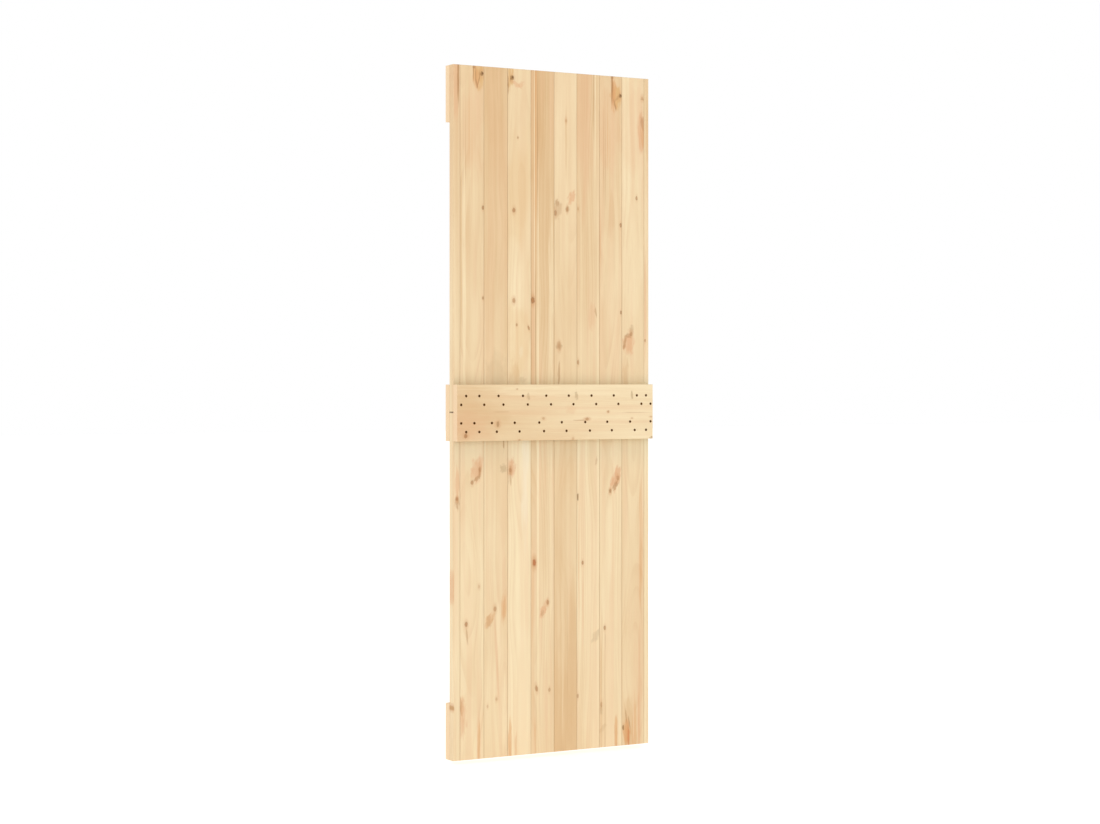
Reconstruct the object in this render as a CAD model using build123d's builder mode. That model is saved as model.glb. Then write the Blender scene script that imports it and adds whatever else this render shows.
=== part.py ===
from build123d import *
import os

os.makedirs("parts", exist_ok=True)

# Ledged and boarded sliding door leaf in planed softwood, in millimetres.
# X runs across the door from left to right, the front faces -Y and Z is up.
# The origin is the middle of the top edge, in the middle of the boards' thickness.

# Door leaf
door_width = 700.0
door_height = 2100.0
arris_bevel = 1.0

# Upright boards, the outer two ripped to the door's width
board_thickness = 25.0
board_face = 82.5
left_strip_face = 23.0
narrowest_strip_face = 12.0

# Tongue and groove between the boards
tongue_thickness = 6.0
tongue_length = 7.0
tongue_bevel = 1.0
groove_side_clearance = 0.2
groove_end_clearance = 0.8
face_joint_bevel = 0.8
face_joint_gap = 0.4
back_joint_gap = 0.6

# Horizontal battens
batten_height = 171.0
batten_thickness = 25.0
middle_batten_drop = 1.0

# Countersunk holes for screws through both middle battens, in slanting pairs
screw_hole_diameter = 4.5
countersink_diameter = 8.4
countersink_angle = 90.0
pair_rise = 26.5
pair_run = 17.0
upper_row_inset = 34.5
lower_row_inset = 28.0
left_end_pair_inset = 22.0
right_end_pair_inset = 17.0
upper_pair_shifts = (20.0, 4.0, 7.0, 7.0, 5.0, 5.0, 4.0, 7.0)
lower_pair_shifts = (3.0, -19.0, -22.0, -18.0, -20.0, -18.0, -20.0, -18.0)

groove_width = tongue_thickness + 2 * groove_side_clearance
groove_depth = tongue_length + groove_end_clearance
shoulder_width = (board_thickness - tongue_thickness) / 2
panel_left = -door_width / 2
panel_right = door_width / 2
boards_to_face = board_thickness / 2
boards_to_batten_face = boards_to_face + batten_thickness

# As many whole boards as the width holds, then a strip wide enough for its groove
first_joint = panel_left + left_strip_face
board_count = int((panel_right - first_joint - narrowest_strip_face) // board_face)
joints = [first_joint + board_face * step for step in range(board_count + 1)]


def write_piece(piece, name):
    piece.part.label = name
    export_step(piece.part, f"parts/{name}.step")


def make_board(name, left, right):
    """An upright board whose face runs from left to right, with no joint at the door's edges."""
    has_groove = left > panel_left
    has_tongue = right < panel_right
    with BuildPart() as board:
        with BuildSketch(Plane.XY.offset(-door_height)):
            with Locations(((left + right) / 2, 0)):
                Rectangle(right - left, board_thickness)
            if has_groove:
                chamfer(vertices().group_by(Axis.Y)[0].sort_by(Axis.X)[0], face_joint_bevel)
                with Locations((left, 0)):
                    Rectangle(
                        groove_depth,
                        groove_width,
                        align=(Align.MIN, Align.CENTER),
                        mode=Mode.SUBTRACT,
                    )
            else:
                chamfer(vertices().group_by(Axis.X)[0], arris_bevel)
            if has_tongue:
                with Locations((right, -boards_to_face)):
                    Rectangle(
                        face_joint_gap,
                        shoulder_width,
                        align=(Align.MAX, Align.MIN),
                        mode=Mode.SUBTRACT,
                    )
                chamfer(vertices().group_by(Axis.Y)[0].sort_by(Axis.X)[-1], face_joint_bevel)
                with Locations((right, boards_to_face)):
                    Rectangle(
                        back_joint_gap,
                        shoulder_width,
                        align=(Align.MAX, Align.MAX),
                        mode=Mode.SUBTRACT,
                    )
                with Locations((right, 0)):
                    Rectangle(
                        tongue_length,
                        tongue_thickness,
                        align=(Align.MIN, Align.CENTER),
                    )
                chamfer(vertices().group_by(Axis.X)[-1], tongue_bevel)
            else:
                chamfer(vertices().group_by(Axis.X)[-1], arris_bevel)
        extrude(amount=door_height)
        chamfer(edges().filter_by(Axis.X).group_by(Axis.Y)[0], arris_bevel)
    write_piece(board, name)


def slanting_pair(centre, height, lean):
    """Two screw places, the upper one to the left where lean is 1 and to the right where it is -1."""
    across = lean * pair_run / 2
    up = pair_rise / 2
    return [(centre - across, height + up), (centre + across, height - up)]


def screw_places(board_centres):
    """Two pairs of screws on each board's part of a batten and two near each end."""
    upper_height = batten_height / 2 - upper_row_inset - pair_rise / 2
    lower_height = lower_row_inset + pair_rise / 2 - batten_height / 2
    left_end = panel_left + left_end_pair_inset
    right_end = panel_right - right_end_pair_inset
    places = slanting_pair(left_end, upper_height, -1)
    places += slanting_pair(right_end, upper_height, 1)
    places += slanting_pair(left_end, lower_height, 1)
    places += slanting_pair(right_end, lower_height, -1)
    for step, centre in enumerate(board_centres):
        upper = centre + upper_pair_shifts[step % len(upper_pair_shifts)]
        lower = centre + lower_pair_shifts[step % len(lower_pair_shifts)]
        places += slanting_pair(upper, upper_height, 1) + slanting_pair(lower, lower_height, 1)
    return places


def make_batten(name, side, centre_height, hole_places):
    """A batten across one side of the door, bevelled round its outer face, with its screw holes."""
    with BuildPart() as batten:
        with BuildSketch(side.offset(boards_to_face)):
            with Locations((0, centre_height)):
                Rectangle(door_width, batten_height)
        extrude(amount=batten_thickness)
        outward = Axis(side.origin, side.z_dir)
        chamfer(faces().sort_by(outward)[-1].edges(), arris_bevel)
        if hole_places:
            with Locations(side.offset(boards_to_batten_face)):
                with Locations(*[(across, centre_height + up) for across, up in hole_places]):
                    CounterSinkHole(
                        screw_hole_diameter / 2,
                        countersink_diameter / 2,
                        depth=batten_thickness,
                        counter_sink_angle=countersink_angle,
                    )
    write_piece(batten, name)


make_board("left_edge_strip", panel_left, first_joint)
for number, (left, right) in enumerate(zip(joints, joints[1:]), start=1):
    make_board(f"board_{number}", left, right)
make_board("right_edge_strip", joints[-1], panel_right)

board_centres = [joint + board_face / 2 for joint in joints[:-1]]
top_centre = -batten_height / 2
middle_centre = -door_height / 2 - middle_batten_drop
bottom_centre = -door_height + batten_height / 2

make_batten("front_middle_batten", Plane.front, middle_centre, screw_places(board_centres))
make_batten("back_top_batten", Plane.back, top_centre, [])
make_batten("back_middle_batten", Plane.back, middle_centre, [])
make_batten("back_bottom_batten", Plane.back, bottom_centre, [])
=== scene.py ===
import math
import random

import bmesh
import bpy
from mathutils import Matrix, Vector


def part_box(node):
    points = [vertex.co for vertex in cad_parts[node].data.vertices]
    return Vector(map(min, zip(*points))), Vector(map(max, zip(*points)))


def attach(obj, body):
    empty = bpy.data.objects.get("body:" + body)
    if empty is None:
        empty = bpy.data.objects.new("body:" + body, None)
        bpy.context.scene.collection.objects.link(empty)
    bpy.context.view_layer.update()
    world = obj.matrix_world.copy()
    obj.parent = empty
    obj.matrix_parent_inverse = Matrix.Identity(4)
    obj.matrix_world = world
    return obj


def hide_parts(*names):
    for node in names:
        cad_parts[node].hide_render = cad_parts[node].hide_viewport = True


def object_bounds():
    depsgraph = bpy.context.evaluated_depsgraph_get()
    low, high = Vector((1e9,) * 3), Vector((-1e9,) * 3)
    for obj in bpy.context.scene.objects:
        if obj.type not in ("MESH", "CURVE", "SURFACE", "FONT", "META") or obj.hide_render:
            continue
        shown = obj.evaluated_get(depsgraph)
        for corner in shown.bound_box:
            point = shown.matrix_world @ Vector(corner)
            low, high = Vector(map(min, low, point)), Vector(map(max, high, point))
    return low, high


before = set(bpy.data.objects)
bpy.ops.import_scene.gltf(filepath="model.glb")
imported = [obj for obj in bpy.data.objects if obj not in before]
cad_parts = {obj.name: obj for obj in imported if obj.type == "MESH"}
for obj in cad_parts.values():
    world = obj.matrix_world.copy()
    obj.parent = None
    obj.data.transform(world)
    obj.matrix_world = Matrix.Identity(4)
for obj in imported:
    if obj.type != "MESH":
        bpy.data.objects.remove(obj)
cad_low, cad_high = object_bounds()

# Upright boards
# Eight planed softwood boards and a ripped strip at each side, tongued and grooved together.
# They are left bare: pale sapwood with tan and pinkish streaks, small knots, and orange
# stains where resin has run. Each board is cut from another log, so each has its own shade.

sapwood_tan = (222, 183, 134)
sapwood_pale = (251, 230, 189)
sapwood_pink = (237, 196, 154)
sapwood_milk = (250, 234, 204)
latewood = (206, 152, 96)
end_wood = (253, 222, 182)
end_late = (206, 150, 98)
knot_live = (172, 116, 68)
knot_dead = (140, 102, 50)
knot_core = (84, 58, 28)
knot_red = (184, 106, 60)
knot_ochre = (188, 138, 70)
knot_ring = (206, 152, 100)
knot_bark = (78, 50, 26)
knot_halo = (214, 162, 114)
resin_orange = (222, 162, 104)
resin_red = (210, 132, 78)
resin_ochre = (222, 174, 108)
streak_brown = (176, 122, 72)
blush_pink = (229, 178, 134)
grey_brown = (182, 152, 110)
joint_brown = (150, 118, 80)
# Painted shade: the grey that the boards' colour is multiplied by in the corners beside the middle
# battens
corner_shade_grey = (0.83, 0.90, 0.95, 1.0)

ring_width = 0.0042
ring_wander = 0.016
ring_crowding = 2.5
crowded_width = 0.017
band_width = 0.0087
end_rings = 0.22
end_whiteness = 0.8

# Lumps of the soft patterns in the wood, across and along the grain
wander_lump = (0.16, 0.55)
streak_lump = (0.013, 1.1)
cloud_lump = (0.06, 0.30)
blush_lump = (0.022, 0.5)
ring_patch = (0.045, 0.40)
fibre_lump = (0.0011, 0.045)
cloud_depth = 0.16
fibre_depth = 0.05

wood_roughness = 0.6
wood_specular = 0.3
fibre_relief = 0.00012
relief_strength = 0.35
# How far the painted shade reaches above and below the middle battens, in metres
corner_shade_above = 0.05
corner_shade_below = 0.13
joint_half = 0.0016
joint_amount = 0.2

door_left = cad_low.x
door_foot = cad_low.z
door_tall = cad_high.z - cad_low.z
joint_places = [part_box(f"board_{number}")[0].x for number in range(1, 9)]
joint_places.append(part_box("right_edge_strip")[0].x)


def screen(colour):
    """A colour given from 0 to 255 as it looks on a screen, as the linear colour of a shader."""
    linear = []
    for level in colour:
        share = level / 255
        linear.append(share / 12.92 if share <= 0.04045 else ((share + 0.055) / 1.055) ** 2.4)
    return (*linear, 1.0)


def put(tree, kind, inputs=(), **settings):
    """A new node with its settings, and with its inputs set or linked to other nodes' outputs."""
    node = tree.nodes.new(kind)
    for name, value in settings.items():
        setattr(node, name, value)
    for key, value in dict(inputs).items():
        if isinstance(value, bpy.types.NodeSocket):
            tree.links.new(value, node.inputs[key])
        else:
            node.inputs[key].default_value = value
    return node


def maths(tree, operation, *values):
    """One sum on plain numbers."""
    return put(tree, "ShaderNodeMath", enumerate(values), operation=operation).outputs[0]


def vectors(tree, operation, *values):
    """One sum on places or directions."""
    return put(tree, "ShaderNodeVectorMath", enumerate(values), operation=operation).outputs[0]


def distance(tree, place, scale):
    """How far a place is from the origin, after its three directions are scaled."""
    scaled = vectors(tree, "MULTIPLY", place, scale)
    return put(tree, "ShaderNodeVectorMath", {0: scaled}, operation="LENGTH").outputs["Value"]


def fade(tree, value, start, end, low=0.0, high=1.0):
    """A number that goes smoothly from low to high while value goes from start to end."""
    inputs = {"Value": value, "From Min": start, "From Max": end, "To Min": low, "To Max": high}
    return put(tree, "ShaderNodeMapRange", inputs, interpolation_type="SMOOTHSTEP").outputs[0]


def layer(tree, amount, under, over, blend_type="MIX"):
    """The colour under, with the colour over laid on it by amount."""
    inputs = {0: amount, 6: under, 7: over}
    return put(tree, "ShaderNodeMix", inputs, data_type="RGBA", blend_type=blend_type).outputs[2]


def mottle(tree, place, lump, detail=1.0):
    """Soft noise in lumps of this size across and along the grain, in metres."""
    across, along = lump
    scale = (1 / across, 1 / across, 1 / along)
    stretched = put(tree, "ShaderNodeMapping", {"Vector": place, "Scale": scale}).outputs[0]
    return put(tree, "ShaderNodeTexNoise", {"Vector": stretched, "Scale": 1.0, "Detail": detail})


def bands_from_pith(tree, radius, width):
    """Soft noise in bands of about this width, outwards from the pith."""
    inputs = {"W": maths(tree, "DIVIDE", radius, width), "Scale": 1.0, "Detail": 2.0}
    return put(tree, "ShaderNodeTexNoise", inputs, noise_dimensions="1D").outputs[0]


def open_group(name, inputs, outputs):
    """An empty node group with these sockets, its inputs as a source and its outputs as a target."""
    tree = bpy.data.node_groups.new(name, "ShaderNodeTree")
    for label, kind in inputs.items():
        tree.interface.new_socket(label, in_out="INPUT", socket_type=kind)
    for label, kind in outputs.items():
        tree.interface.new_socket(label, in_out="OUTPUT", socket_type=kind)
    source = tree.nodes.new("NodeGroupInput").outputs
    target = tree.nodes.new("NodeGroupOutput").inputs
    return tree, source, target


NUMBER, PLACE, COLOUR = "NodeSocketFloat", "NodeSocketVector", "NodeSocketColor"


def leaning_share(tree, source, ragged):
    """A place measured from a mark's middle in half widths and half lengths, along its lean.

    It is moved about by up to a quarter of ragged, so that the mark gets an uneven edge.
    """
    away = vectors(tree, "SUBTRACT", source["Grain"], source["Place"])
    along = put(tree, "ShaderNodeSeparateXYZ", {0: away}).outputs["Z"]
    slip = maths(tree, "MULTIPLY", along, source["Lean"])
    straight = vectors(tree, "SUBTRACT", away, put(tree, "ShaderNodeCombineXYZ", {0: slip}).outputs[0])
    share = vectors(tree, "DIVIDE", straight, source["Size"])
    elsewhere = vectors(tree, "MULTIPLY", source["Place"], (90.0, 90.0, 90.0))
    inputs = {"Vector": vectors(tree, "ADD", share, elsewhere), "Scale": 1.3, "Detail": 2.0}
    noise = put(tree, "ShaderNodeTexNoise", inputs).outputs["Color"]
    noise = vectors(tree, "SUBTRACT", noise, (0.5,) * 3)
    return vectors(tree, "ADD", share, vectors(tree, "MULTIPLY", noise, (ragged, 0.0, ragged)))


def grain_round_knot():
    """Grain lines pushed apart by a knot, as a change to the place where the figure is read."""
    inputs = {"Grain": PLACE, "Place": PLACE, "Size": PLACE}
    tree, source, target = open_group("grain_round_knot", inputs, {"Grain": PLACE})
    away = vectors(tree, "SUBTRACT", source["Grain"], source["Place"])
    share = vectors(tree, "DIVIDE", away, source["Size"])
    near = fade(tree, distance(tree, share, (0.30, 0.0, 0.20)), 1.0, 0.0, 0.0, 0.85)
    sideways = put(tree, "ShaderNodeCombineXYZ", {0: near}).outputs[0]
    push = vectors(tree, "MULTIPLY", away, sideways)
    tree.links.new(vectors(tree, "SUBTRACT", source["Grain"], push), target["Grain"])
    return tree


def knot_mark():
    """A knot: a brown heart with its own rings, a thin dark bark line and a stained halo."""
    inputs = {"Colour": COLOUR, "Grain": PLACE, "Place": PLACE, "Size": PLACE}
    inputs.update({"Lean": NUMBER, "Heart": COLOUR, "Depth": NUMBER, "Bark": NUMBER, "Halo": NUMBER})
    tree, source, target = open_group("knot_mark", inputs, {"Colour": COLOUR})
    share = leaning_share(tree, source, 0.9)
    out = distance(tree, share, (1.0, 0.0, 1.0))
    stained = fade(tree, distance(tree, share, (0.40, 0.0, 0.28)), 1.0, 0.2)
    stained = maths(tree, "MULTIPLY", stained, source["Halo"])
    colour = layer(tree, stained, source["Colour"], screen(knot_halo))
    rings = maths(tree, "SINE", maths(tree, "MULTIPLY", out, 15.0))
    heart = layer(tree, fade(tree, rings, -1.0, 1.0, 0.0, 0.3), source["Heart"], screen(knot_ring))
    body = maths(tree, "MULTIPLY", fade(tree, out, 1.25, 0.65), source["Depth"])
    colour = layer(tree, body, colour, heart)
    line = maths(tree, "MULTIPLY", fade(tree, out, 0.6, 0.95), fade(tree, out, 1.35, 1.0))
    line = maths(tree, "MULTIPLY", line, source["Bark"])
    tree.links.new(layer(tree, line, colour, screen(knot_bark)), target["Colour"])
    return tree


def stain_mark():
    """A stain or a streak with soft ends, broken up along the fibres."""
    inputs = {"Colour": COLOUR, "Grain": PLACE, "Fibre": NUMBER, "Place": PLACE, "Size": PLACE}
    inputs.update({"Lean": NUMBER, "Amount": NUMBER, "Tint": COLOUR})
    tree, source, target = open_group("stain_mark", inputs, {"Colour": COLOUR})
    out = distance(tree, leaning_share(tree, source, 1.8), (1.0, 0.0, 1.0))
    soft = maths(tree, "MULTIPLY", fade(tree, out, 1.25, 0.5), source["Amount"])
    broken = maths(tree, "MULTIPLY", soft, fade(tree, source["Fibre"], 0.3, 0.6, 0.6, 1.1))
    colour = layer(tree, broken, source["Colour"], source["Tint"])
    tree.links.new(colour, target["Colour"])
    return tree


def softwood_figure():
    """Growth rings, tone bands and fibres of planed softwood, cut from a log at a given place."""
    inputs = {"Grain": PLACE, "Log": PLACE, "Pith": PLACE, "Pale": NUMBER, "Warm": NUMBER}
    inputs.update({"Rings": NUMBER, "Bands": NUMBER})
    outputs = {"Colour": COLOUR, "Fibre": NUMBER, "Ring": NUMBER, "Relief": NUMBER}
    tree, source, target = open_group("softwood_figure", inputs, outputs)
    place = vectors(tree, "ADD", source["Grain"], source["Log"])

    bent = vectors(tree, "SUBTRACT", mottle(tree, place, wander_lump).outputs["Color"], (0.5,) * 3)
    bent = vectors(tree, "MULTIPLY", bent, (ring_wander * 2, ring_wander * 2, 0.0))
    from_pith = vectors(tree, "SUBTRACT", source["Grain"], source["Pith"])
    radius = distance(tree, vectors(tree, "ADD", from_pith, bent), (1.0, 1.0, 0.0))
    count = maths(tree, "DIVIDE", radius, ring_width)
    crowded = maths(tree, "MULTIPLY", bands_from_pith(tree, radius, crowded_width), ring_crowding)
    count = maths(tree, "ADD", count, crowded)
    season = maths(tree, "FRACT", count)
    late = maths(tree, "MULTIPLY", fade(tree, season, 0.35, 0.92), fade(tree, season, 1.0, 0.93))

    bands = fade(tree, bands_from_pith(tree, radius, band_width), 0.32, 0.68, -0.5, 0.5)
    streaks = fade(tree, mottle(tree, place, streak_lump).outputs[0], 0.32, 0.68, -0.5, 0.5)
    clouds = fade(tree, mottle(tree, place, cloud_lump).outputs[0], 0.30, 0.70, -0.5, 0.5)
    fibre = mottle(tree, place, fibre_lump, 3.0).outputs[0]

    drift = maths(tree, "MULTIPLY", maths(tree, "ADD", bands, streaks), source["Bands"])
    pale = maths(tree, "ADD", source["Pale"], drift)
    pale = maths(tree, "ADD", pale, maths(tree, "MULTIPLY", clouds, cloud_depth))
    pale = maths(tree, "ADD", pale, fade(tree, fibre, 0.3, 0.7, -fibre_depth, fibre_depth))
    colour = layer(tree, pale, screen(sapwood_tan), screen(sapwood_pale))
    blush = fade(tree, mottle(tree, place, blush_lump).outputs[0], 0.42, 0.68)
    colour = layer(tree, maths(tree, "MULTIPLY", blush, source["Warm"]), colour, screen(sapwood_pink))
    shown = fade(tree, mottle(tree, place, ring_patch).outputs[0], 0.36, 0.64, 0.3, 1.7)
    tree.links.new(late, target["Ring"])
    late = maths(tree, "MULTIPLY", maths(tree, "MULTIPLY", late, shown), source["Rings"])
    tree.links.new(layer(tree, late, colour, screen(latewood)), target["Colour"])
    tree.links.new(fibre, target["Fibre"])
    relief = maths(tree, "ADD", fibre, maths(tree, "MULTIPLY", late, -1.0))
    tree.links.new(relief, target["Relief"])
    return tree


round_knot = grain_round_knot()
knot_group = knot_mark()
stain_group = stain_mark()
figure_group = softwood_figure()


def knot(across, up, wide, tall, depth=0.8, bark=0.3, halo=0.35, lean=0.0, heart=knot_live):
    """A knot's middle, half width and half height in metres, and how dark its parts are."""
    return {
        "Place": (across, 0.0, up),
        "Size": (wide, 1.0, tall),
        "Lean": lean,
        "Heart": screen(heart),
        "Depth": depth,
        "Bark": bark,
        "Halo": halo,
    }


def stain(tint, across, up, wide, tall, amount=0.5, lean=0.0):
    """A stain's colour, middle, half width and half height in metres, and its strength."""
    return {
        "Tint": screen(tint),
        "Place": (across, 0.0, up),
        "Size": (wide, 1.0, tall),
        "Lean": lean,
        "Amount": amount,
    }


def painted_corner_shade(tree, up, facing, colour):
    """Painted shade: boards a little greyer in the corners beside the middle battens, where the
    battens shade them.
    """
    low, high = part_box("front_middle_batten")
    above = maths(tree, "SUBTRACT", up, high.z - door_foot)
    below = maths(tree, "SUBTRACT", low.z - door_foot, up)
    # The painted shade is strongest at the batten's edge and fades out over its reach
    for gap, reach in ((above, corner_shade_above), (below, corner_shade_below)):
        near = maths(tree, "SUBTRACT", 1.0, maths(tree, "DIVIDE", gap, reach))
        near = maths(tree, "MAXIMUM", near, 0.0)
        outside = maths(tree, "MULTIPLY", maths(tree, "GREATER_THAN", gap, 0.0), facing)
        amount = maths(tree, "MULTIPLY", maths(tree, "MULTIPLY", near, near), outside)
        colour = layer(tree, amount, colour, corner_shade_grey, "MULTIPLY")
    return colour


def softwood(name, corner, turn, end_side, shades, log, pith, tones, knots, stains, paints_corner_shade):
    """Bare planed softwood, with the grain turned to run along the piece.

    Places on the piece are counted from its corner, across the grain and then along it.
    The shades are how pale it is at its start and at its end, and its length. The tones are how
    strong its pinkish patches, its growth rings and its bands of tone are. The last flag paints shade
    into the corners beside the middle battens.
    """
    material = bpy.data.materials.new(name)
    material.use_nodes = True
    tree = material.node_tree
    shader = tree.nodes["Principled BSDF"]
    placed = put(tree, "ShaderNodeTexCoord").outputs["Object"]
    inputs = {"Vector": placed, "Rotation": turn, "Location": corner}
    grain = put(tree, "ShaderNodeMapping", inputs).outputs[0]

    bent = grain
    for mark in knots:
        inputs = {"Grain": bent, "Place": mark["Place"], "Size": mark["Size"]}
        bent = put(tree, "ShaderNodeGroup", inputs, node_tree=round_knot).outputs[0]

    along = put(tree, "ShaderNodeSeparateXYZ", {0: grain}).outputs["Z"]
    start, end, length = shades
    pale = fade(tree, along, length * 0.2, length, start, end)
    warm, rings, bands = tones
    inputs = {"Grain": bent, "Log": log, "Pith": pith, "Pale": pale}
    inputs.update({"Warm": warm, "Rings": rings, "Bands": bands})
    figure = put(tree, "ShaderNodeGroup", inputs, node_tree=figure_group)
    colour = figure.outputs["Colour"]

    for mark in stains:
        inputs = {"Colour": colour, "Grain": grain, "Fibre": figure.outputs["Fibre"], **mark}
        colour = put(tree, "ShaderNodeGroup", inputs, node_tree=stain_group).outputs[0]
    for mark in knots:
        inputs = {"Colour": colour, "Grain": grain, **mark}
        colour = put(tree, "ShaderNodeGroup", inputs, node_tree=knot_group).outputs[0]

    normal = put(tree, "ShaderNodeNewGeometry").outputs["Normal"]
    facing = put(tree, "ShaderNodeSeparateXYZ", {0: normal}).outputs
    # Painted shade on the front and back faces beside the middle battens
    if paints_corner_shade:
        colour = painted_corner_shade(tree, along, maths(tree, "ABSOLUTE", facing["Y"]), colour)
    endways = maths(tree, "ABSOLUTE", facing[end_side])
    sawn = fade(tree, endways, 0.7, 0.95, 0.0, end_whiteness)
    ring = maths(tree, "MULTIPLY", figure.outputs["Ring"], end_rings)
    end = layer(tree, ring, screen(end_wood), screen(end_late))
    colour = layer(tree, sawn, colour, end)
    tree.links.new(colour, shader.inputs["Base Color"])
    inputs = {"Height": figure.outputs["Relief"], "Distance": fibre_relief}
    inputs["Strength"] = relief_strength
    tree.links.new(put(tree, "ShaderNodeBump", inputs).outputs[0], shader.inputs["Normal"])
    shader.inputs["Roughness"].default_value = wood_roughness
    shader.inputs["Specular IOR Level"].default_value = wood_specular
    return material


def dress(piece, material):
    """The material in place of every material that the piece has."""
    if not piece.data.materials:
        piece.data.materials.append(material)
    for slot in piece.material_slots:
        slot.material = material


def board_wood(node, foot, head, pith, warm=0.3, rings=0.06, bands=0.12, knots=(), stains=()):
    """The wood of one upright board, its marks counted from the door's left edge and its foot."""
    left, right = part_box(node)
    middle = (left.x + right.x) / 2 - door_left
    for place in joint_places:
        if left.x - joint_half < place < right.x:
            across = place - door_left
            line = stain(joint_brown, across, door_tall / 2, joint_half, door_tall, joint_amount)
            stains = [*stains, line]
    wood = softwood(
        f"{node}_softwood",
        corner=(-door_left, 0.0, -door_foot),
        turn=(0.0, 0.0, 0.0),
        end_side="Z",
        shades=(foot, head, door_tall),
        log=Vector(((left.x + right.x) * 37.0, 3.1, right.x * 53.0)),
        pith=(middle + pith[0], pith[1], 0.0),
        tones=(warm, rings, bands),
        knots=knots,
        stains=stains,
        # The boards get painted shade beside the middle battens
        paints_corner_shade=True,
    )
    dress(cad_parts[node], wood)


board_wood(
    "left_edge_strip",
    foot=0.80,
    head=0.40,
    pith=(0.09, 0.05),
    knots=[
        knot(0.012, 0.789, 0.0036, 0.0050, 0.60, 0.15, 0.7),
        knot(0.000, 0.160, 0.0020, 0.0056, 0.55, 0.0, 0.6, 0.0, knot_ochre),
    ],
    stains=[
        stain(blush_pink, 0.008, 2.03, 0.0085, 0.10, 0.6),
        stain(streak_brown, 0.0165, 2.06, 0.0036, 0.075, 0.8),
        stain(blush_pink, 0.013, 0.835, 0.008, 0.060, 0.6),
        stain(streak_brown, 0.0125, 0.778, 0.008, 0.020, 0.5),
        stain(blush_pink, 0.000, 0.52, 0.0036, 0.06, 0.7),
        stain(streak_brown, 0.0015, 0.157, 0.0020, 0.006, 0.4),
        stain(knot_core, 0.000, 1.051, 0.0015, 0.0026, 0.9),
    ],
)
board_wood(
    "board_1",
    foot=0.84,
    head=0.50,
    pith=(-0.02, 0.13),
    warm=0.3,
    rings=0.10,
    knots=[
        knot(0.0982, 2.0775, 0.0058, 0.0068, 0.75, 0.1, 0.4, 0.0, knot_dead),
        knot(0.1000, 2.0785, 0.0026, 0.0032, 0.8, 0.0, 0.0, 0.0, knot_core),
        knot(0.102, 1.671, 0.0035, 0.0055, 0.7, 0.3, 0.3),
        knot(0.102, 1.397, 0.0028, 0.0043, 0.6, 0.2, 0.3),
        knot(0.0915, 0.877, 0.0046, 0.0075, 0.45, 0.05, 0.4),
        knot(0.0642, 0.838, 0.0046, 0.0060, 0.60, 0.15, 0.4),
        knot(0.044, 0.410, 0.0047, 0.0067, 0.7, 0.2, 0.4),
        knot(0.088, 0.522, 0.0037, 0.0049, 0.2, 0.0, 0.3),
    ],
    stains=[
        stain(resin_ochre, 0.0870, 2.075, 0.0210, 0.044, 0.75),
        stain(resin_orange, 0.0780, 2.066, 0.0120, 0.034, 0.45),
        stain(streak_brown, 0.0690, 2.080, 0.0022, 0.030, 0.65),
        stain(streak_brown, 0.0715, 2.096, 0.0060, 0.006, 0.70),
        stain(streak_brown, 0.0770, 2.070, 0.0022, 0.026, 0.55),
        stain(streak_brown, 0.0800, 2.047, 0.0026, 0.018, 0.90, -0.25),
        stain(streak_brown, 0.0872, 2.056, 0.0022, 0.020, 0.70, 0.29),
        stain(streak_brown, 0.0900, 2.076, 0.0024, 0.010, 0.60),
        stain(blush_pink, 0.0800, 0.873, 0.0200, 0.036, 0.80, 0.15),
        stain(blush_pink, 0.0950, 0.900, 0.0080, 0.024, 0.50),
        stain(streak_brown, 0.0903, 0.866, 0.0046, 0.017, 0.65),
        stain(streak_brown, 0.0800, 0.849, 0.0090, 0.010, 0.60, 0.8),
        stain(streak_brown, 0.0465, 0.375, 0.003, 0.03, 0.4, -0.1),
        stain(resin_orange, 0.088, 0.05, 0.006, 0.080, 0.55),
        stain(resin_orange, 0.029, 0.165, 0.012, 0.036, 0.45),
        stain(streak_brown, 0.0265, 0.160, 0.005, 0.022, 0.4),
        stain(blush_pink, 0.033, 0.120, 0.014, 0.060, 0.55),
        stain(sapwood_tan, 0.0270, 1.55, 0.0030, 0.300, 0.6),
        stain(sapwood_pale, 0.0370, 1.40, 0.0065, 0.330, 0.7),
        stain(streak_brown, 0.0335, 1.88, 0.0014, 0.160, 0.25),
        stain(streak_brown, 0.0410, 1.86, 0.0014, 0.140, 0.25),
        stain(blush_pink, 0.0640, 1.92, 0.0500, 0.150, 0.28),
        stain(resin_orange, 0.0540, 1.93, 0.0016, 0.170, 0.35),
        stain(resin_orange, 0.0640, 1.80, 0.0014, 0.200, 0.30),
    ],
)
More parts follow.
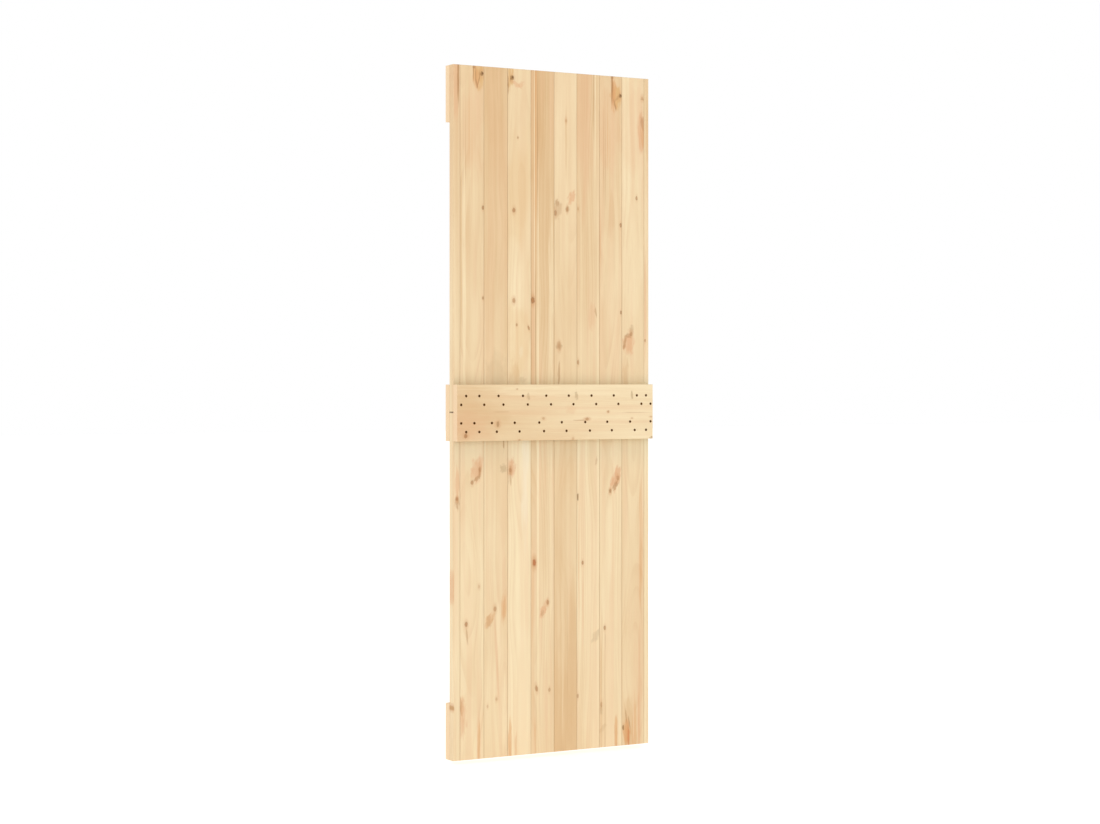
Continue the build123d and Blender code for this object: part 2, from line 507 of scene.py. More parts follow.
board_wood(
    "board_2",
    foot=0.66,
    head=0.16,
    pith=(0.03, -0.10),
    warm=0.25,
    knots=[
        knot(0.144, 0.452, 0.0047, 0.0073, 0.5, 0.1, 0.4),
        knot(0.149, 0.177, 0.0035, 0.0049, 0.3, 0.0, 0.3),
        knot(0.118, 0.157, 0.0031, 0.0049, 0.25, 0.0, 0.2),
    ],
    stains=[
        stain(streak_brown, 0.174, 0.951, 0.0030, 0.020, 0.6),
        stain(grey_brown, 0.1745, 0.878, 0.0135, 0.0130, 0.45),
        stain(streak_brown, 0.124, 0.414, 0.012, 0.020, 0.35, 0.3),
        stain(resin_orange, 0.124, 0.418, 0.014, 0.026, 0.40, 0.5),
        stain(resin_orange, 0.175, 0.455, 0.010, 0.050, 0.40),
        stain(resin_orange, 0.176, 0.450, 0.006, 0.036, 0.40),
        stain(blush_pink, 0.178, 0.520, 0.010, 0.090, 0.25),
        stain(sapwood_pale, 0.1085, 0.82, 0.0018, 0.620, 0.8),
        stain(sapwood_pale, 0.1570, 0.37, 0.0090, 0.110, 0.5),
        stain(sapwood_pale, 0.1760, 0.12, 0.0100, 0.110, 0.6),
        stain(grey_brown, 0.1480, 1.17, 0.0380, 0.060, 0.22),
        stain(blush_pink, 0.150, 0.30, 0.005, 0.160, 0.4, -0.06),
    ],
)
board_wood(
    "board_3",
    foot=0.92,
    head=0.66,
    pith=(0.01, 0.07),
    warm=0.2,
    knots=[
        knot(0.2038, 2.0715, 0.0064, 0.0070, 0.75, 0.1, 0.3, 0.0, knot_dead),
        knot(0.2060, 2.0730, 0.0028, 0.0034, 0.85, 0.0, 0.0, 0.0, knot_core),
        knot(0.224, 1.890, 0.0025, 0.0037, 0.6, 0.1, 0.3),
        knot(0.210, 1.667, 0.0052, 0.0067, 0.7, 0.15, 0.35),
        knot(0.210, 1.391, 0.0050, 0.0067, 0.55, 0.1, 0.5),
        knot(0.220, 1.317, 0.0028, 0.0043, 0.6, 0.2, 0.2),
        knot(0.262, 1.308, 0.0032, 0.0061, 0.65, 0.2, 0.3, -0.3),
        knot(0.1970, 0.873, 0.0050, 0.0060, 0.45, 0.05, 0.5),
    ],
    stains=[
        stain(resin_ochre, 0.1985, 2.074, 0.0110, 0.034, 0.70),
        stain(streak_brown, 0.1985, 2.070, 0.0030, 0.010, 0.45),
        stain(streak_brown, 0.1900, 2.050, 0.0024, 0.028, 0.75),
        stain(blush_pink, 0.2190, 2.053, 0.0110, 0.012, 0.55, -1.2),
        stain(blush_pink, 0.2330, 2.052, 0.0110, 0.011, 0.50, 0.9),
        stain(blush_pink, 0.2010, 0.882, 0.0160, 0.028, 0.80),
        stain(streak_brown, 0.1985, 0.872, 0.0050, 0.016, 0.45),
        stain(streak_brown, 0.1928, 0.852, 0.0022, 0.018, 0.45, 0.05),
        stain(streak_brown, 0.1985, 0.848, 0.0024, 0.022, 0.50, -0.05),
        stain(sapwood_milk, 0.2350, 1.236, 0.0070, 0.016, 0.50),
        stain(grey_brown, 0.2400, 1.148, 0.0130, 0.010, 0.25),
        stain(sapwood_tan, 0.2120, 1.150, 0.0200, 0.050, 0.45),
        stain(resin_orange, 0.1960, 0.030, 0.0070, 0.090, 0.6),
        stain(resin_orange, 0.2170, 0.020, 0.0050, 0.060, 0.4),
        stain(sapwood_milk, 0.2500, 0.870, 0.0160, 0.200, 0.6),
        stain(blush_pink, 0.2550, 0.560, 0.0100, 0.200, 0.2),
        stain(resin_ochre, 0.2300, 1.740, 0.0500, 0.200, 0.25),
        stain(resin_ochre, 0.2300, 1.270, 0.0500, 0.120, 0.25),
    ],
)
board_wood(
    "board_4",
    foot=0.60,
    head=0.10,
    pith=(-0.04, 0.06),
    warm=0.4,
    rings=0.08,
    knots=[
        knot(0.2765, 1.393, 0.0062, 0.0088, 0.85, 0.2, 0.7),
        knot(0.282, 0.587, 0.0058, 0.0105, 0.9, 0.1, 0.7, 0.0, knot_red),
        knot(0.330, 0.463, 0.0040, 0.0067, 0.6, 0.1, 0.4),
        knot(0.290, 0.200, 0.0044, 0.0085, 0.6, 0.1, 0.4, -0.2),
        knot(0.336, 0.193, 0.0037, 0.0061, 0.45, 0.1, 0.3),
    ],
    stains=[
        stain(resin_orange, 0.2860, 1.84, 0.0046, 0.360, 0.70),
        stain(sapwood_pale, 0.2830, 1.75, 0.0022, 0.500, 0.70),
        stain(streak_brown, 0.2935, 1.88, 0.0020, 0.220, 0.50),
        stain(blush_pink, 0.2775, 1.26, 0.0064, 0.300, 0.42),
        stain(streak_brown, 0.2722, 1.25, 0.0012, 0.300, 0.30),
        stain(streak_brown, 0.2865, 1.28, 0.0017, 0.260, 0.45),
        stain(sapwood_pale, 0.2955, 0.80, 0.0045, 0.780, 0.85),
        stain(sapwood_pale, 0.3420, 1.38, 0.0110, 0.320, 0.55),
        stain(sapwood_pale, 0.3440, 0.62, 0.0080, 0.300, 0.45),
        stain(resin_orange, 0.2765, 0.50, 0.0050, 0.160, 0.20),
        stain(blush_pink, 0.3130, 0.434, 0.0110, 0.020, 0.75, 0.2),
        stain(streak_brown, 0.3110, 0.430, 0.0060, 0.010, 0.30),
        stain(blush_pink, 0.3220, 0.455, 0.0100, 0.022, 0.50, 0.3),
        stain(resin_orange, 0.286, 0.05, 0.004, 0.07, 0.35),
    ],
)
board_wood(
    "board_5",
    foot=0.44,
    head=0.68,
    pith=(0.02, 0.11),
    warm=0.15,
    knots=[
        knot(0.396, 1.951, 0.0032, 0.0055, 0.35, 0.0, 0.4),
        knot(0.358, 1.664, 0.0040, 0.0079, 0.55, 0.2, 0.4),
        knot(0.400, 1.677, 0.0037, 0.0067, 0.5, 0.1, 0.5),
        knot(0.371, 1.253, 0.0056, 0.0085, 0.25, 0.0, 0.5),
    ],
    stains=[
        stain(streak_brown, 0.3655, 1.678, 0.0170, 0.032, 0.30),
        stain(streak_brown, 0.3640, 1.695, 0.0085, 0.011, 0.45),
        stain(blush_pink, 0.4160, 1.714, 0.0130, 0.020, 0.75, 0.3),
        stain(grey_brown, 0.4010, 1.678, 0.0085, 0.009, 0.55),
        stain(grey_brown, 0.3710, 1.253, 0.0110, 0.015, 0.50),
        stain(streak_brown, 0.3705, 1.163, 0.0054, 0.046, 0.50, 0.06),
        stain(sapwood_tan, 0.3960, 1.900, 0.0040, 0.120, 0.5),
        stain(sapwood_tan, 0.3700, 0.060, 0.0300, 0.260, 0.6),
        stain(sapwood_tan, 0.4150, 0.140, 0.0260, 0.340, 0.6),
        stain(sapwood_pale, 0.3850, 0.350, 0.0070, 0.300, 0.3),
        stain(streak_brown, 0.4000, 0.300, 0.0014, 0.260, 0.2),
    ],
)
board_wood(
    "board_6",
    foot=0.80,
    head=0.42,
    pith=(0.05, 0.09),
    warm=0.3,
    rings=0.10,
    knots=[
        knot(0.4395, 1.680, 0.0030, 0.0055, 0.3, 0.0, 0.3),
        knot(0.4395, 1.203, 0.0032, 0.0067, 0.6, 0.2, 0.3),
        knot(0.4385, 0.785, 0.0024, 0.0100, 0.75, 0.4, 0.2, 0.0, knot_dead),
        knot(0.4385, 0.167, 0.0030, 0.0061, 0.5, 0.1, 0.2),
        knot(0.456, 0.580, 0.0032, 0.0055, 0.7, 0.3, 0.3),
    ],
    stains=[
        stain(blush_pink, 0.461, 1.97, 0.034, 0.27, 0.45),
        stain(streak_brown, 0.4965, 2.05, 0.0035, 0.16, 0.3),
        stain(sapwood_pale, 0.5020, 2.00, 0.0022, 0.24, 0.6),
        stain(sapwood_pale, 0.5125, 0.85, 0.0050, 0.900, 0.55),
        stain(streak_brown, 0.504, 1.360, 0.0035, 0.016, 0.45, -0.15),
        stain(blush_pink, 0.490, 1.345, 0.014, 0.045, 0.35),
        stain(streak_brown, 0.506, 0.894, 0.0045, 0.015, 0.3, 0.15),
        stain(grey_brown, 0.505, 0.350, 0.013, 0.022, 0.3, 0.5),
        stain(blush_pink, 0.457, 0.45, 0.004, 0.13, 0.35),
        stain(resin_orange, 0.4425, 0.62, 0.0025, 0.25, 0.35),
    ],
)
board_wood(
    "board_7",
    foot=0.76,
    head=0.44,
    pith=(-0.01, 0.08),
    warm=0.3,
    rings=0.10,
    knots=[
        knot(0.5945, 2.0400, 0.0056, 0.0066, 0.75, 0.1, 0.5, 0.0, knot_dead),
        knot(0.5962, 2.0410, 0.0026, 0.0034, 0.8, 0.0, 0.0, 0.0, knot_core),
        knot(0.596, 1.634, 0.0035, 0.0059, 0.65, 0.4, 0.25),
        knot(0.597, 1.360, 0.0028, 0.0051, 0.7, 0.4, 0.25),
        knot(0.5855, 0.841, 0.0046, 0.0064, 0.40, 0.1, 0.5),
        knot(0.5572, 0.801, 0.0042, 0.0056, 0.60, 0.1, 0.6, 0.0, knot_dead),
        knot(0.537, 0.373, 0.0035, 0.0061, 0.6, 0.3, 0.3),
        knot(0.524, 0.134, 0.0032, 0.0079, 0.4, 0.1, 0.3),
    ],
    stains=[
        stain(resin_ochre, 0.5800, 2.037, 0.0190, 0.038, 0.75),
        stain(resin_orange, 0.5700, 2.045, 0.0110, 0.056, 0.75),
        stain(streak_brown, 0.5640, 2.065, 0.0044, 0.050, 0.80),
        stain(streak_brown, 0.5650, 2.097, 0.0060, 0.006, 0.60),
        stain(streak_brown, 0.5745, 2.010, 0.0034, 0.018, 0.70, -0.25),
        stain(streak_brown, 0.5850, 2.033, 0.0060, 0.010, 0.35, 0.8),
        stain(streak_brown, 0.5335, 1.86, 0.0016, 0.180, 0.40),
        stain(streak_brown, 0.5400, 1.83, 0.0014, 0.160, 0.30),
        stain(blush_pink, 0.5770, 0.838, 0.0170, 0.036, 0.85, 0.25),
        stain(blush_pink, 0.5850, 0.860, 0.0110, 0.020, 0.50),
        stain(streak_brown, 0.5765, 0.818, 0.0085, 0.018, 0.60, 0.5),
        stain(blush_pink, 0.520, 1.58, 0.0035, 0.10, 0.55),
        stain(streak_brown, 0.5385, 0.335, 0.0012, 0.035, 0.45),
        stain(streak_brown, 0.5290, 0.060, 0.0100, 0.016, 0.2, 0.8),
        stain(resin_orange, 0.5780, 0.030, 0.0075, 0.064, 0.65),
        stain(sapwood_tan, 0.5245, 0.170, 0.0060, 0.240, 0.6),
        stain(sapwood_tan, 0.5370, 0.130, 0.0060, 0.180, 0.5),
        stain(grey_brown, 0.5235, 0.118, 0.0050, 0.018, 0.35),
        stain(blush_pink, 0.5580, 1.93, 0.0500, 0.140, 0.32),
        stain(resin_orange, 0.5480, 1.90, 0.0016, 0.150, 0.40),
        stain(resin_orange, 0.5560, 1.84, 0.0014, 0.180, 0.35),
        stain(sapwood_pale, 0.5600, 1.50, 0.0460, 0.170, 0.30),
    ],
)
board_wood(
    "board_8",
    foot=0.58,
    head=0.82,
    pith=(0.00, -0.12),
    warm=0.3,
    knots=[
        knot(0.676, 2.037, 0.0044, 0.0061, 0.3, 0.0, 0.4),
        knot(0.655, 1.721, 0.0032, 0.0059, 0.6, 0.3, 0.25),
        knot(0.6350, 1.293, 0.0046, 0.0060, 0.50, 0.1, 0.5),
        knot(0.6050, 0.056, 0.0032, 0.0080, 0.75, 0.1, 0.4, 0.0, knot_dead),
    ],
    stains=[
        stain(grey_brown, 0.6800, 2.034, 0.0120, 0.0035, 0.55),
        stain(blush_pink, 0.6750, 1.935, 0.0160, 0.070, 0.75),
        stain(streak_brown, 0.6765, 1.958, 0.0072, 0.028, 0.55, -0.05),
        stain(resin_orange, 0.6770, 1.910, 0.0080, 0.040, 0.50),
        stain(blush_pink, 0.6420, 1.93, 0.0480, 0.140, 0.22),
        stain(grey_brown, 0.6370, 1.307, 0.0080, 0.013, 0.40),
        stain(blush_pink, 0.6240, 1.262, 0.0200, 0.036, 0.85),
        stain(streak_brown, 0.6250, 1.287, 0.0120, 0.0075, 0.45),
        stain(streak_brown, 0.6110, 1.268, 0.0055, 0.024, 0.50, 0.2),
        stain(streak_brown, 0.6085, 1.254, 0.0040, 0.008, 0.35),
        stain(resin_orange, 0.6720, 0.66, 0.0080, 0.200, 0.35),
        stain(resin_orange, 0.6690, 0.52, 0.0050, 0.120, 0.25),
        stain(blush_pink, 0.668, 0.16, 0.009, 0.20, 0.4),
        stain(sapwood_tan, 0.6250, 0.060, 0.0200, 0.100, 0.6),
        stain(resin_orange, 0.6190, 0.036, 0.0120, 0.056, 0.75),
        stain(resin_red, 0.6250, 0.022, 0.0046, 0.036, 0.75),
        stain(streak_brown, 0.6160, 0.090, 0.0024, 0.026, 0.60, -0.1),
        stain(streak_brown, 0.6270, 0.072, 0.0030, 0.022, 0.55, -0.2),
        stain(blush_pink, 0.6640, 0.070, 0.0036, 0.090, 0.60),
        stain(resin_orange, 0.6500, 0.050, 0.0055, 0.120, 0.45),
        stain(resin_orange, 0.6400, 0.030, 0.0030, 0.070, 0.35),
        stain(sapwood_tan, 0.613, 1.16, 0.012, 0.06, 0.5),
        stain(sapwood_pale, 0.6420, 1.50, 0.0480, 0.170, 0.32),
    ],
)
board_wood(
    "right_edge_strip",
    foot=0.98,
    head=0.58,
    pith=(-0.05, 0.10),
    warm=0.3,
    knots=[
        knot(0.687, 1.273, 0.0022, 0.0043, 0.6, 0.2, 0.3),
    ],
    stains=[
        stain(blush_pink, 0.688, 1.37, 0.0045, 0.16, 0.5),
        stain(sapwood_tan, 0.695, 1.95, 0.006, 0.12, 0.45),
        stain(sapwood_tan, 0.692, 0.45, 0.014, 0.50, 0.12),
    ],
)

# Front batten
# One planed softwood batten across the face at mid-height, its grain level. It is drilled and
# countersunk in four rows, and screwed through the boards into the batten behind it.

batten_turn = (0.0, -math.pi / 2, 0.0)
batten_rings = 0.05


def batten_wood(node, piece, left_shade, right_shade, pith, warm, bands, knots=(), stains=()):
    """The wood of one batten, its marks counted down from its top edge and from its left end."""
    low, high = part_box(node)
    wood = softwood(
        f"{node}_softwood",
        corner=(high.z, 0.0, -door_left),
        turn=batten_turn,
        end_side="X",
        shades=(left_shade, right_shade, high.x - low.x),
        log=Vector((low.z * 41.0, high.y * 97.0, low.z * 29.0)),
        pith=(pith[0], (low.y + high.y) / 2 + pith[1], 0.0),
        tones=(warm, batten_rings, bands),
        knots=knots,
        stains=stains,
        paints_corner_shade=False,
    )
    dress(piece, wood)


batten_wood(
    "front_middle_batten",
    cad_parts["front_middle_batten"],
    left_shade=0.44,
    right_shade=0.88,
    pith=(0.30, 0.12),
    warm=0.3,
    bands=0.07,
    knots=[
        knot(0.155, 0.029, 0.006, 0.005, 0.75, 0.2, 0.5),
        knot(0.120, 0.140, 0.009, 0.0045, 0.50, 0.0, 0.4, -0.15, knot_dead),
        knot(0.014, 0.207, 0.0022, 0.003, 0.45, 0.0, 0.2),
        knot(0.169, 0.215, 0.0022, 0.005, 0.5, 0.0, 0.2),
        knot(0.104, 0.300, 0.004, 0.0045, 0.35, 0.0, 0.3),
        knot(0.107, 0.457, 0.004, 0.006, 0.55, 0.1, 0.5),
        knot(0.085, 0.534, 0.0035, 0.003, 0.55, 0.1, 0.45),
        knot(0.106, 0.622, 0.0024, 0.003, 0.35, 0.0, 0.3),
        knot(0.102, 0.693, 0.0024, 0.004, 0.35, 0.0, 0.3),
        knot(0.169, 0.406, 0.006, 0.003, 0.30, 0.0, 0.3),
    ],
    stains=[
        stain(sapwood_tan, 0.110, 0.030, 0.080, 0.140, 0.38),
        stain(sapwood_tan, 0.095, 0.020, 0.060, 0.090, 0.34),
        stain(blush_pink, 0.130, 0.030, 0.060, 0.110, 0.30),
        stain(blush_pink, 0.135, 0.020, 0.040, 0.070, 0.25),
        stain(sapwood_pale, 0.023, 0.30, 0.016, 0.20, 0.5),
        stain(sapwood_pale, 0.006, 0.38, 0.010, 0.40, 0.6),
        stain(grey_brown, 0.038, 0.247, 0.012, 0.006, 0.45),
        stain(grey_brown, 0.034, 0.418, 0.014, 0.006, 0.60, 0.2),
        stain(grey_brown, 0.034, 0.622, 0.014, 0.005, 0.60, 0.3),
        stain(streak_brown, 0.111, 0.435, 0.0025, 0.030, 0.35),
        stain(streak_brown, 0.088, 0.640, 0.0016, 0.060, 0.3),
        stain(streak_brown, 0.083, 0.150, 0.0015, 0.030, 0.3),
        stain(blush_pink, 0.078, 0.40, 0.016, 0.020, 0.25),
        stain(grey_brown, 0.169, 0.696, 0.006, 0.008, 0.8),
    ],
)

# Back battens
# Three more planed battens across the back, level with the top edge, behind the front batten and
# level with the foot. The top and bottom ones are countersunk for the screws into the boards;
# the middle one is whole, because the front batten's screws end inside it.

drill_sides = 24
hole_width = 0.0045
seat_width = 0.0084
drill_run_out = 0.001
batten_arris = 0.001

pair_rise = 0.0265
pair_run = 0.017
upper_pair_height = 0.03775
lower_pair_height = -0.04425
left_end_pair_inset = 0.022
right_end_pair_inset = 0.017
upper_pair_shifts = (0.020, 0.004, 0.007, 0.007, 0.005, 0.005, 0.004, 0.007)
lower_pair_shifts = (0.003, -0.019, -0.022, -0.018, -0.020, -0.018, -0.020, -0.018)


def slanting_pair(centre, height, lean):
    """Two screw places, the upper one to the left where lean is 1 and to the right where it is -1."""
    across = lean * pair_run / 2
    up = pair_rise / 2
    return [(centre - across, height + up), (centre + across, height - up)]


def screw_places(board_middles):
    """Two pairs of screws on each board's part of a batten and two near each end."""
    left_end = cad_low.x + left_end_pair_inset
    right_end = cad_high.x - right_end_pair_inset
    places = slanting_pair(left_end, upper_pair_height, -1)
    places += slanting_pair(right_end, upper_pair_height, 1)
    places += slanting_pair(left_end, lower_pair_height, 1)
    places += slanting_pair(right_end, lower_pair_height, -1)
    for middle, upper, lower in zip(board_middles, upper_pair_shifts, lower_pair_shifts):
        places += slanting_pair(middle + upper, upper_pair_height, 1)
        places += slanting_pair(middle + lower, lower_pair_height, 1)
    return places


board_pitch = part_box("board_2")[0].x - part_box("board_1")[0].x
board_middles = [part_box(f"board_{number}")[0].x + board_pitch / 2 for number in range(1, 9)]
front_places = screw_places(board_middles)
mirrored_middles = [-middle for middle in reversed(board_middles)]
back_places = [(-across, up) for across, up in screw_places(mirrored_middles)]


def new_piece(bm, name):
    """A closed bmesh as a new object, with its faces pointing outwards."""
    bmesh.ops.recalc_face_normals(bm, faces=bm.faces)
    mesh = bpy.data.meshes.new(name)
    bm.to_mesh(mesh)
    bm.free()
    piece = bpy.data.objects.new(name, mesh)
    bpy.context.scene.collection.objects.link(piece)
    return piece


def repeat(bm, mesh, places):
    """Copies of a small mesh, one moved to each place."""
    for place in places:
        bm.from_mesh(mesh)
        bm.verts.ensure_lookup_table()
        bmesh.ops.translate(bm, verts=bm.verts[-len(mesh.vertices):], vec=place)


def countersink_drill(depth):
    """The solid that a countersinking drill cuts from the back face down to depth, at the origin."""
    flare = (seat_width - hole_width) / 2
    rim = seat_width / 2 + drill_run_out
    profile = [(0.0, drill_run_out), (rim, drill_run_out), (hole_width / 2, -flare)]
    profile += [(hole_width / 2, -depth), (0.0, -depth)]
    bm = bmesh.new()
    corners = [bm.verts.new((radius, height, 0.0)) for radius, height in profile]
    edges = [bm.edges.new(pair) for pair in zip(corners, corners[1:])]
    bmesh.ops.spin(
        bm,
        geom=corners + edges,
        cent=(0.0, 0.0, 0.0),
        axis=(0.0, 1.0, 0.0),
        angle=math.tau,
        steps=drill_sides,
        use_merge=True,
    )
    bmesh.ops.remove_doubles(bm, verts=bm.verts, dist=1e-6)
    bmesh.ops.recalc_face_normals(bm, faces=bm.faces)
    mesh = bpy.data.meshes.new("countersink_drill")
    bm.to_mesh(mesh)
    bm.free()
    return mesh


def drilled_batten(node, name):
    """A batten planed square, its back arrises eased, and drilled and countersunk from the back."""
    low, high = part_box(node)
    middle = (low + high) / 2
    bm = bmesh.new()
    bmesh.ops.create_cube(bm, size=1.0)
    bmesh.ops.scale(bm, vec=high - low, verts=bm.verts)
    bmesh.ops.translate(bm, vec=middle, verts=bm.verts)
    back_edges = [edge for edge in bm.edges if all(vert.co.y > middle.y for vert in edge.verts)]
    bmesh.ops.bevel(
        bm,
        geom=back_edges,
        offset=batten_arris,
        offset_type="OFFSET",
        affect="EDGES",
        segments=1,
        profile=0.5,
        material=-1,
    )
    batten = new_piece(bm, name)

    cuts = bmesh.new()
    drill = countersink_drill(high.y - low.y + drill_run_out)
    repeat(cuts, drill, [(across, high.y, middle.z + up) for across, up in back_places])
    drills = new_piece(cuts, f"{name}_drills")
    cut = batten.modifiers.new("holes", "BOOLEAN")
    cut.operation = "DIFFERENCE"
    cut.solver = "EXACT"
    cut.object = drills
    drilled = batten.evaluated_get(bpy.context.evaluated_depsgraph_get())
    mesh = bpy.data.meshes.new_from_object(drilled)
    batten.modifiers.clear()
    batten.data = mesh
    mesh.name = name
    bpy.data.objects.remove(drills)
    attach(batten, "root")
    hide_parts(node)
    return batten


top_batten = drilled_batten("back_top_batten", "countersunk_top_batten")
bottom_batten = drilled_batten("back_bottom_batten", "countersunk_bottom_batten")

batten_wood(
    "back_middle_batten",
    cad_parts["back_middle_batten"],
    left_shade=0.55,
    right_shade=0.75,
    pith=(-0.10, 0.12),
    warm=0.35,
    bands=0.15,
    knots=[
        knot(0.060, 0.180, 0.006, 0.005, 0.6, 0.2, 0.5),
        knot(0.120, 0.470, 0.007, 0.005, 0.7, 0.4, 0.5),
        knot(0.035, 0.610, 0.003, 0.003, 0.6, 0.2, 0.3),
    ],
)
batten_wood(
    "back_top_batten",
    top_batten,
    left_shade=0.62,
    right_shade=0.50,
    pith=(0.20, 0.10),
    warm=0.3,
    bands=0.15,
    knots=[
        knot(0.110, 0.120, 0.006, 0.005, 0.7, 0.3, 0.5),
        knot(0.040, 0.350, 0.004, 0.004, 0.6, 0.2, 0.3),
        knot(0.090, 0.560, 0.008, 0.006, 0.75, 0.5, 0.5),
    ],
)
batten_wood(
    "back_bottom_batten",
    bottom_batten,
    left_shade=0.70,
    right_shade=0.60,
    pith=(0.08, -0.10),
    warm=0.3,
    bands=0.15,
    knots=[
        knot(0.050, 0.250, 0.006, 0.005, 0.7, 0.3, 0.5),
        knot(0.130, 0.420, 0.004, 0.004, 0.6, 0.2, 0.3),
        knot(0.080, 0.640, 0.006, 0.005, 0.6, 0.2, 0.5),
    ],
)

# Screws
# Countersunk wood screws of burnished steel, with a cross recess, driven level with the wood.
# Forty hold the front batten and forty hold each of the top and bottom battens on the back.

head_depth = 0.0001
head_width = seat_width - 2 * head_depth
recess_half = 0.0024
recess_depth = 0.0011
recess_taper = 0.55
shank_width = 0.0040
shank_length = 0.022
head_sides = 12
screw_seed = 7

burnished_light = (134, 84, 30)
burnished_dark = (84, 50, 16)
patch_lump = (0.003, 0.003)


def wood_screw():
    """A screw's head facing up at the origin, its recess, its cone and the plain of its shank."""
    bm = bmesh.new()
    rim = bmesh.ops.create_circle(bm, segments=head_sides, radius=head_width / 2)["verts"]
    half_side = Matrix.Rotation(math.pi / head_sides, 3, "Z")
    bmesh.ops.rotate(bm, verts=rim, cent=(0.0, 0.0, 0.0), matrix=half_side)
    rim_edges = list(bm.edges)
    cross = bmesh.ops.create_grid(bm, x_segments=3, y_segments=3, size=recess_half)["verts"]
    inner = recess_half / 3 + 1e-6
    corners = []
    for face in {face for vert in cross for face in vert.link_faces}:
        middle = face.calc_center_median()
        if min(abs(middle.x), abs(middle.y)) > inner:
            corners.append(face)
    bmesh.ops.delete(bm, geom=corners, context="FACES")
    recess = list(bm.faces)
    cross_edges = [edge for edge in bm.edges if edge.is_boundary]
    bmesh.ops.bridge_loops(bm, edges=rim_edges + cross_edges)
    sunk = bmesh.ops.extrude_face_region(bm, geom=recess)["geom"]
    sunk = [item for item in sunk if isinstance(item, bmesh.types.BMVert)]
    bmesh.ops.delete(bm, geom=recess, context="FACES")
    bmesh.ops.scale(bm, verts=sunk, vec=(recess_taper, recess_taper, 1.0))
    bmesh.ops.translate(bm, verts=sunk, vec=(0.0, 0.0, -recess_depth))
    for width, fall in ((shank_width, (head_width - shank_width) / 2), (shank_width, shank_length)):
        ring = bmesh.ops.extrude_edge_only(bm, edges=rim_edges)["geom"]
        lower = [item for item in ring if isinstance(item, bmesh.types.BMVert)]
        rim_edges = [item for item in ring if isinstance(item, bmesh.types.BMEdge)]
        spread = width / 2 / lower[0].co.xy.length
        bmesh.ops.scale(bm, verts=lower, vec=(spread, spread, 1.0))
        bmesh.ops.translate(bm, verts=lower, vec=(0.0, 0.0, -fall))
    bmesh.ops.holes_fill(bm, edges=rim_edges, sides=0)
    bmesh.ops.recalc_face_normals(bm, faces=bm.faces)
    mesh = bpy.data.meshes.new("wood_screw")
    bm.to_mesh(mesh)
    bm.free()
    return mesh


def burnished_steel():
    """Steel burnished brown, a little uneven from head to head."""
    material = bpy.data.materials.new("burnished_screw_steel")
    material.use_nodes = True
    tree = material.node_tree
    shader = tree.nodes["Principled BSDF"]
    placed = put(tree, "ShaderNodeTexCoord").outputs["Object"]
    patches = mottle(tree, placed, patch_lump, 3.0).outputs[0]
    shares = fade(tree, patches, 0.35, 0.65)
    colour = layer(tree, shares, screen(burnished_dark), screen(burnished_light))
    tree.links.new(colour, shader.inputs["Base Color"])
    tree.links.new(fade(tree, patches, 0.3, 0.7, 0.5, 0.65), shader.inputs["Roughness"])
    shader.inputs["Metallic"].default_value = 0.4
    shader.inputs["Specular IOR Level"].default_value = 0.2
    return material


screw_mesh = wood_screw()
screw_steel = burnished_steel()
twists = random.Random(screw_seed)


def drive_screws(name, face, height, places, turn):
    """Every screw of one batten as one piece, each with its recess at another angle."""
    bm = bmesh.new()
    for across, up in places:
        bm.from_mesh(screw_mesh)
        bm.verts.ensure_lookup_table()
        new = bm.verts[-len(screw_mesh.vertices):]
        twist = Matrix.Rotation(twists.uniform(0.0, math.tau), 3, "Z")
        bmesh.ops.rotate(bm, verts=new, cent=(0.0, 0.0, 0.0), matrix=turn @ twist)
        bmesh.ops.translate(bm, verts=new, vec=(across, face, height + up))
    screws = new_piece(bm, name)
    screws.data.materials.append(screw_steel)
    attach(screws, "root")


facing_front = Matrix.Rotation(math.radians(90.0), 3, "X")
facing_back = Matrix.Rotation(math.radians(-90.0), 3, "X")
front_middle = sum(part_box("front_middle_batten"), Vector()) / 2
drive_screws("front_batten_screws", cad_low.y + head_depth, front_middle.z, front_places, facing_front)
for node in ("back_top_batten", "back_bottom_batten"):
    middle = sum(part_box(node), Vector()) / 2
    name = node.replace("batten", "batten_screws")
    drive_screws(name, cad_high.y - head_depth, middle.z, back_places, facing_back)

# Studio
# A white floor just below the hanging door, a white sky brighter at the horizon than overhead,
# and a large soft lamp on each side. Floor and sky are seen as white, and the door shades the floor.

floor_gap = 0.012
floor_half = 40.0
horizon_strength = 1.27
zenith_strength = 0.53
floor_white = (0.86, 0.86, 0.86, 1.0)
floor_lift = 0.30
floor_lift_seen = 0.50
lamp_side = 4.0
lamp_power = 80.0


def when_seen(tree, lit, shown):
    """The number lit for rays that light the door, and shown for rays that see the studio."""
    path = put(tree, "ShaderNodeLightPath").outputs
    mirrored = maths(tree, "MAXIMUM", path["Is Glossy Ray"], path["Is Transmission Ray"])
    seen = maths(tree, "MAXIMUM", path["Is Camera Ray"], mirrored)
    return put(tree, "ShaderNodeMix", {0: seen, 2: lit, 3: shown}, data_type="FLOAT").outputs[0]


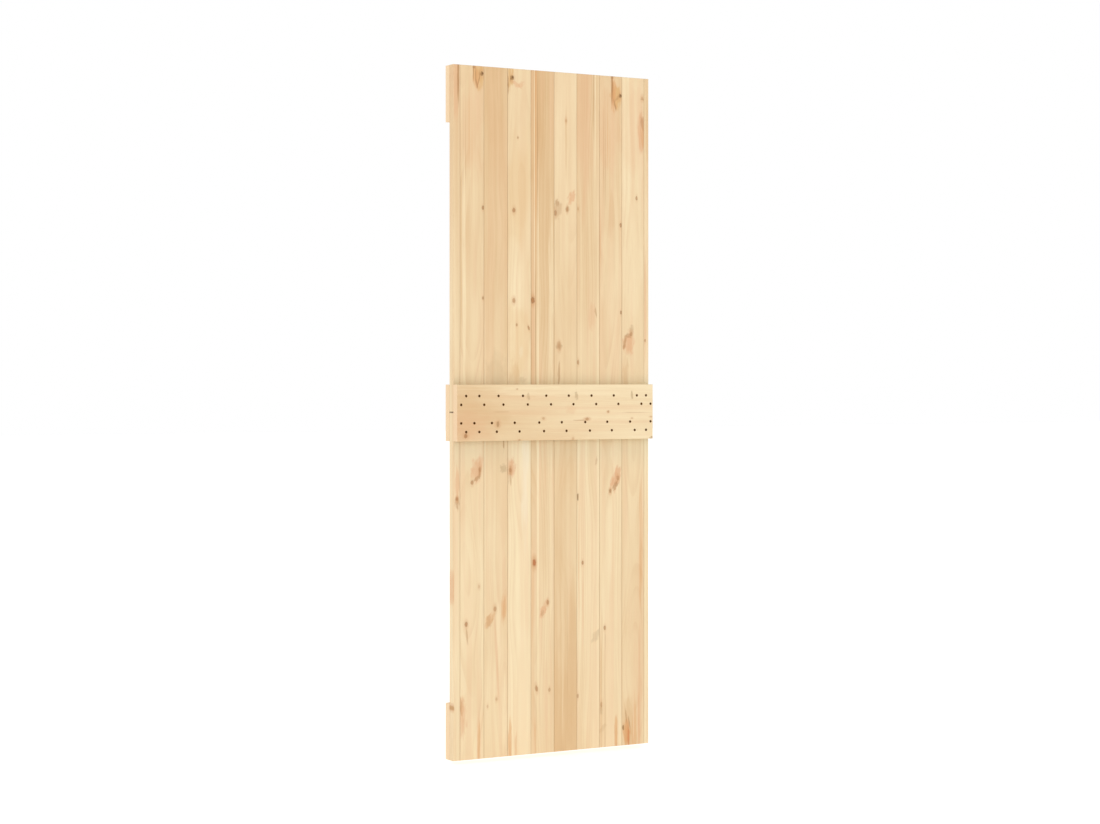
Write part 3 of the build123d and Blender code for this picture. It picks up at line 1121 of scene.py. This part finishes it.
world = bpy.data.worlds.new("white_studio")
bpy.context.scene.world = world
world.use_nodes = True
tree = world.node_tree
sky = tree.nodes["Background"]
sky.inputs["Color"].default_value = (1.0, 1.0, 1.0, 1.0)
height = put(tree, "ShaderNodeSeparateXYZ", {0: put(tree, "ShaderNodeTexCoord").outputs["Generated"]})
lit = fade(tree, height.outputs["Z"], 0.0, 0.9, horizon_strength, zenith_strength)
tree.links.new(when_seen(tree, lit, 1.0), sky.inputs["Strength"])

bm = bmesh.new()
bmesh.ops.create_grid(bm, x_segments=1, y_segments=1, size=floor_half)
bmesh.ops.translate(bm, verts=bm.verts, vec=(0.0, 0.0, door_foot - floor_gap))
floor_mesh = bpy.data.meshes.new("studio_floor")
bm.to_mesh(floor_mesh)
bm.free()
floor = bpy.data.objects.new("studio_floor", floor_mesh)
bpy.context.scene.collection.objects.link(floor)
floor_paint = bpy.data.materials.new("floor_white")
floor_paint.use_nodes = True
tree = floor_paint.node_tree
shader = tree.nodes["Principled BSDF"]
shader.inputs["Base Color"].default_value = floor_white
shader.inputs["Roughness"].default_value = 0.9
shader.inputs["Specular IOR Level"].default_value = 0.1
shader.inputs["Emission Color"].default_value = (1.0, 1.0, 1.0, 1.0)
tree.links.new(when_seen(tree, floor_lift, floor_lift_seen), shader.inputs["Emission Strength"])
floor_mesh.materials.append(floor_paint)


def soft_lamp(name, place):
    """A large square lamp at a place, turned towards the door."""
    data = bpy.data.lights.new(name, "AREA")
    data.shape = "SQUARE"
    data.size = lamp_side
    data.energy = lamp_power
    lamp = bpy.data.objects.new(name, data)
    lamp.location = place
    aim = Vector((0.0, 0.0, -1.2))
    lamp.rotation_euler = (aim - lamp.location).to_track_quat("-Z", "Y").to_euler()
    bpy.context.scene.collection.objects.link(lamp)


soft_lamp("front_lamp", (-6.0, -8.0, 1.5))
soft_lamp("back_lamp", (6.0, 8.0, 1.5))

# Camera
# At the photograph's viewing place: to the left of the door, level, a little above its middle.

camera_data = bpy.data.cameras.new("photo_camera")
camera_data.lens = 76.9
camera_data.sensor_width = 36.0
camera_data.shift_y = -0.0302
camera = bpy.data.objects.new("photo_camera", camera_data)
camera.location = (-3.7010, -6.2505, -0.948)
camera.rotation_euler = (math.radians(90.0), 0.0, math.radians(-30.6))
bpy.context.scene.collection.objects.link(camera)
bpy.context.scene.camera = camera

bpy.context.scene.view_settings.view_transform = "Standard"
